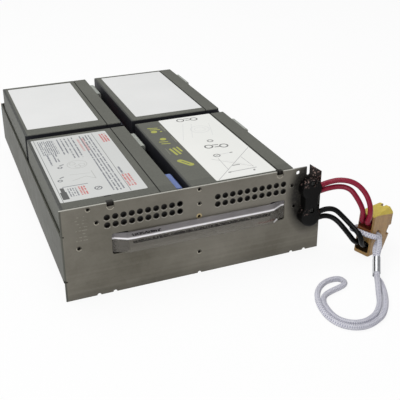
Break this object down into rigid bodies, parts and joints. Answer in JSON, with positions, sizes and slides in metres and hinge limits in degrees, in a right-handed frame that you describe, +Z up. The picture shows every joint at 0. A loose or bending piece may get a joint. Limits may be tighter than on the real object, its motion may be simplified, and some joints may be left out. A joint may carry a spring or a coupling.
{
  "type": "ups battery cartridge",
  "caption": "Folded steel tray cartridge holding sealed batteries in two columns, with a pull strip, a clamped cable pair, a two-pole connector and a lanyard.",
  "frame": {"origin": "middle of the footprint of everything but the free cables, connector and lanyard, level with the lower edge of the front plate", "axes": "+Z up, -Y out of the front plate, +X towards the battery terminals and the cable clamp"},
  "size_m": [0.2874, 0.4558, 0.0826],
  "materials": {
    "galvanised_steel": "satin",
    "battery_plastic": "fine texture",
    "label_stock": "satin film",
    "tinned_tab": "bright",
    "boot_blue": "translucent",
    "boot_grey": "translucent",
    "boot_black": "satin",
    "foam": "matt closed-cell foam",
    "strip_film": "glossy film",
    "clamp_plastic": "satin moulded",
    "zinc_screw": "blackened zinc",
    "brass_insert": "bright",
    "connector_yellow": "slightly translucent",
    "silver_contact": "silver plate",
    "braided_cord": "woven",
    "sleeve_metal": "bright",
    "wire_red": "satin",
    "wire_black": "satin"
  },
  "bodies": {
    "root": {"battery_case_front_left": "battery_plastic", "battery_case_front_right": "battery_plastic", "battery_case_rear_left": "battery_plastic", "battery_case_rear_right": "battery_plastic", "battery_label_front_left": "label_stock", "battery_label_front_right": "label_stock", "battery_label_rear_left": "label_stock", "battery_label_rear_right": "label_stock", "battery_lid_front_left": "battery_plastic", "battery_lid_front_right": "battery_plastic", "battery_lid_rear_left": "battery_plastic", "battery_lid_rear_right": "battery_plastic", "boot_front_front_left": "boot_blue", "boot_front_front_right": "boot_black", "boot_front_rear_left": "boot_black", "boot_front_rear_right": "boot_black", "boot_rear_front_left": "boot_grey", "boot_rear_front_right": "boot_grey", "boot_rear_rear_left": "boot_grey", "boot_rear_rear_right": "boot_grey", "cable_black_1": "wire_black", "cable_black_2": "wire_black", "cable_clamp": "clamp_plastic", "cable_red_1": "wire_red", "cable_red_2": "wire_red", "chassis": "galvanised_steel", "clamp_nuts": "zinc_screw", "clamp_screws": "zinc_screw", "clinch_nut": "brass_insert", "connector_housing": "connector_yellow", "contact_negative": "silver_contact", "contact_positive": "silver_contact", "crimp_sleeve": "sleeve_metal", "foam_pad_front_left": "foam", "foam_pad_front_right": "foam", "foam_pad_rear_left": "foam", "foam_pad_rear_right": "foam", "lanyard": "braided_cord", "lead_black_left": "wire_black", "lead_black_right": "wire_black", "lead_red_left": "wire_red", "lead_red_right": "wire_red", "pull_strip": "strip_film", "series_link_left": "wire_black", "series_link_right": "wire_black", "spacer_pad_left": "foam", "spacer_pad_right": "foam", "terminals_front_left": "tinned_tab", "terminals_front_right": "tinned_tab", "terminals_rear_left": "tinned_tab", "terminals_rear_right": "tinned_tab", "vent_cover_front_left": "battery_plastic", "vent_cover_front_right": "battery_plastic", "vent_cover_rear_left": "battery_plastic", "vent_cover_rear_right": "battery_plastic"}
  },
  "joints": []
}
